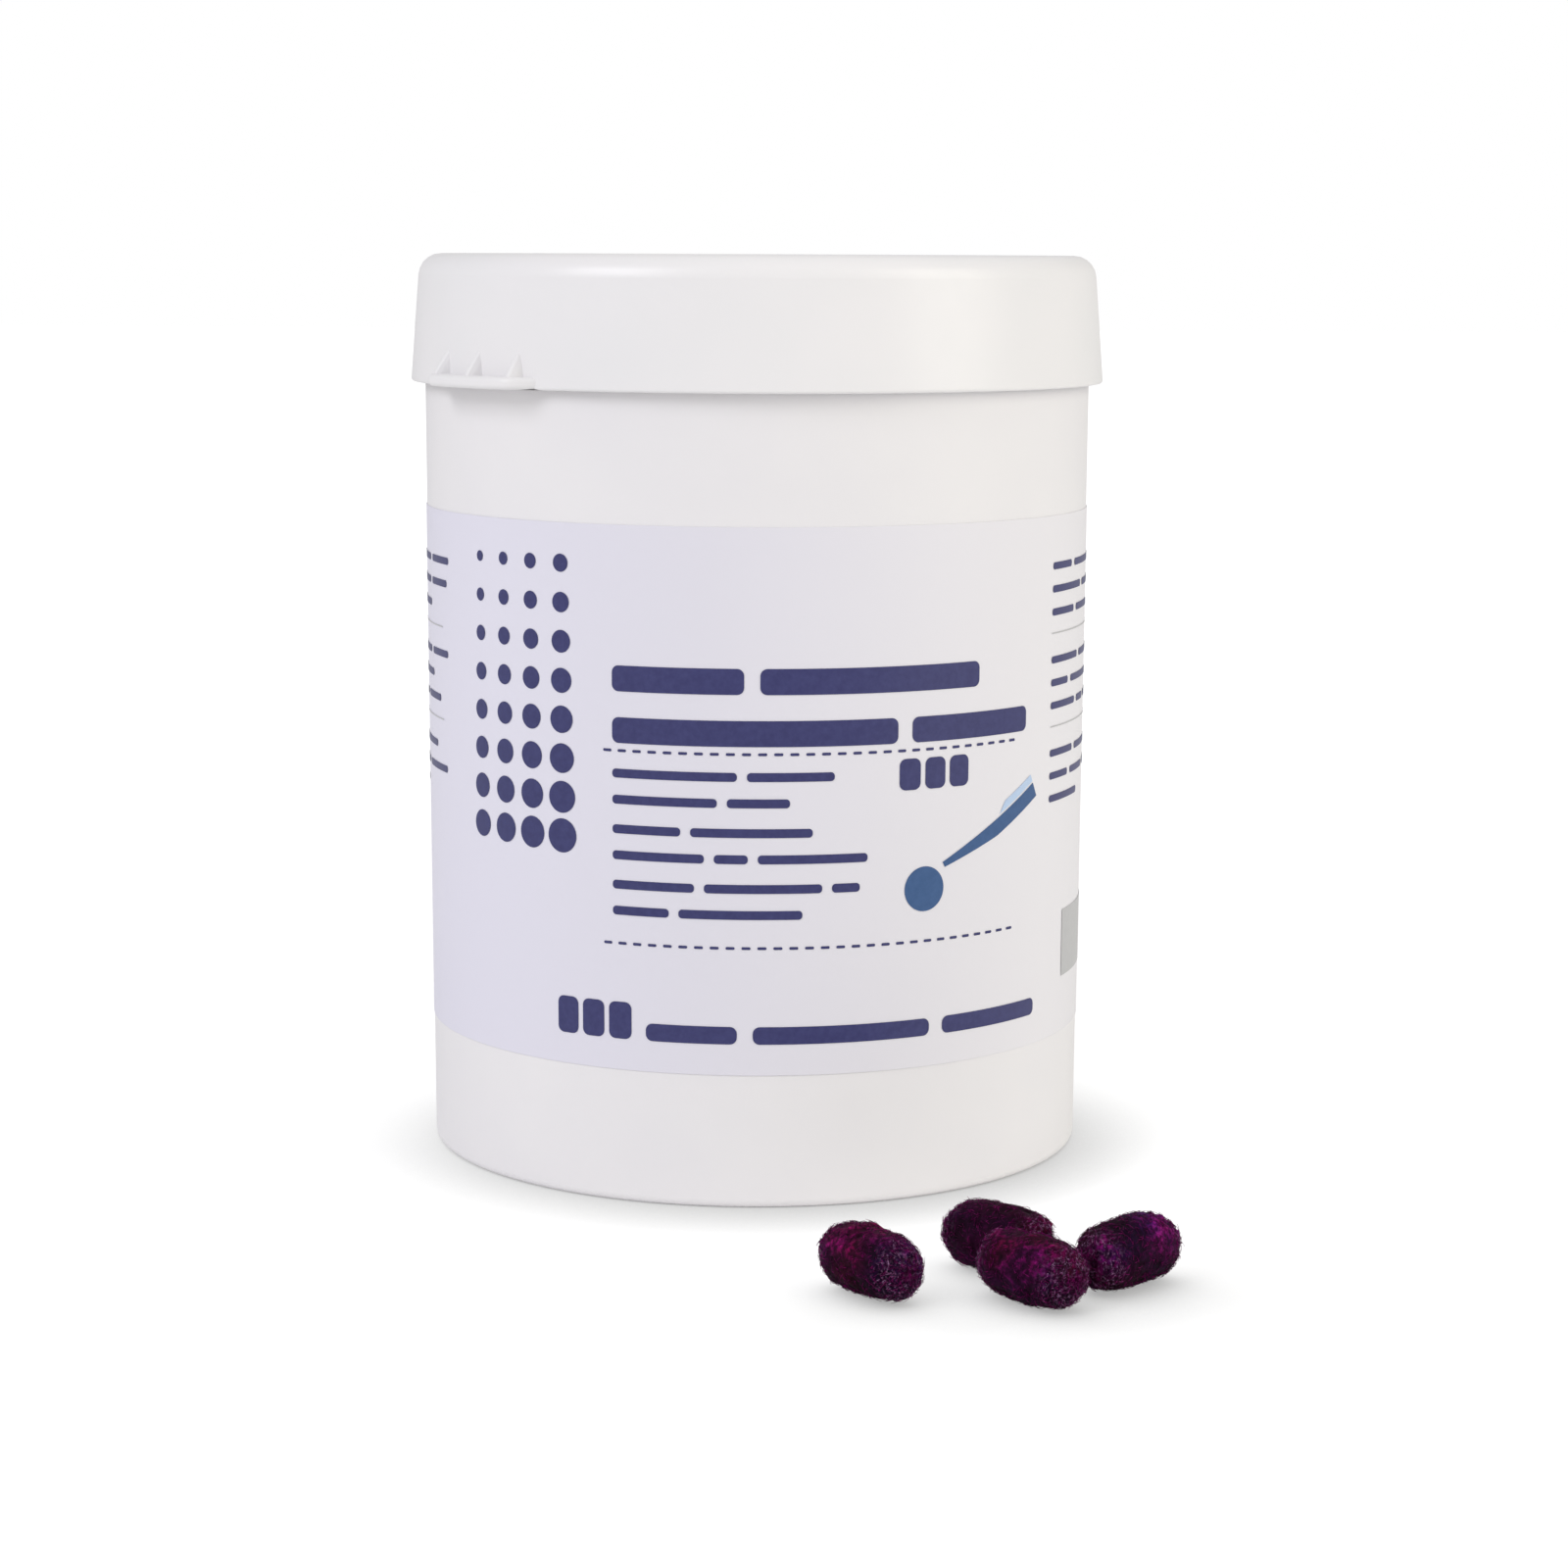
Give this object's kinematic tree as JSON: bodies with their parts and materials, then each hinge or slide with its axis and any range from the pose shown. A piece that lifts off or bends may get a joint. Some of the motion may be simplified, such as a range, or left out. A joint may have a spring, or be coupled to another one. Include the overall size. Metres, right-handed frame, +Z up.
{
  "type": "plaque disclosing swab pack",
  "caption": "Round white plastic tub with a press-on lid and a wrap-round label, filled with soaked dental swabs, and a few loose swabs in front of it.",
  "frame": {"origin": "centre of the tub's foot ring, on the surface that the tub stands on", "axes": "+Z up along the tub's axis, -Y towards the label's front panel and the loose swabs, +X to the right as the front is seen"},
  "size_m": [0.0773, 0.11, 0.0955],
  "materials": {
    "tub_plastic": "white polypropylene, satin",
    "lid_plastic": "white polypropylene, satin",
    "label_film": "cool white label, satin",
    "navy_ink": "printed",
    "blue_ink": "printed",
    "pale_blue_ink": "printed",
    "grey_ink": "printed",
    "soaked_fibre": "soft porous roll soaked in dark purple dye"
  },
  "bodies": {
    "tub": {"tub": "tub_plastic", "label": "label_film", "print_navy": "navy_ink", "print_blue": "blue_ink", "print_pale_blue": "pale_blue_ink", "print_grey": "grey_ink", "loose_swab_1": "soaked_fibre", "loose_swab_2": "soaked_fibre", "loose_swab_3": "soaked_fibre", "loose_swab_4": "soaked_fibre", "packed_layer_1": "soaked_fibre", "packed_layer_2": "soaked_fibre", "packed_layer_3": "soaked_fibre", "packed_layer_4": "soaked_fibre", "packed_layer_5": "soaked_fibre", "packed_layer_6": "soaked_fibre", "packed_layer_7": "soaked_fibre", "packed_layer_8": "soaked_fibre", "packed_top_layer": "soaked_fibre", "packed_crown": "soaked_fibre"},
    "lid": {"lid": "lid_plastic"}
  },
  "joints": [
    {"name": "lid_lift", "type": "slide", "parent": "tub", "child": "lid", "axis": [0, 0, 1], "range_m": [0, 0.04]}
  ]
}
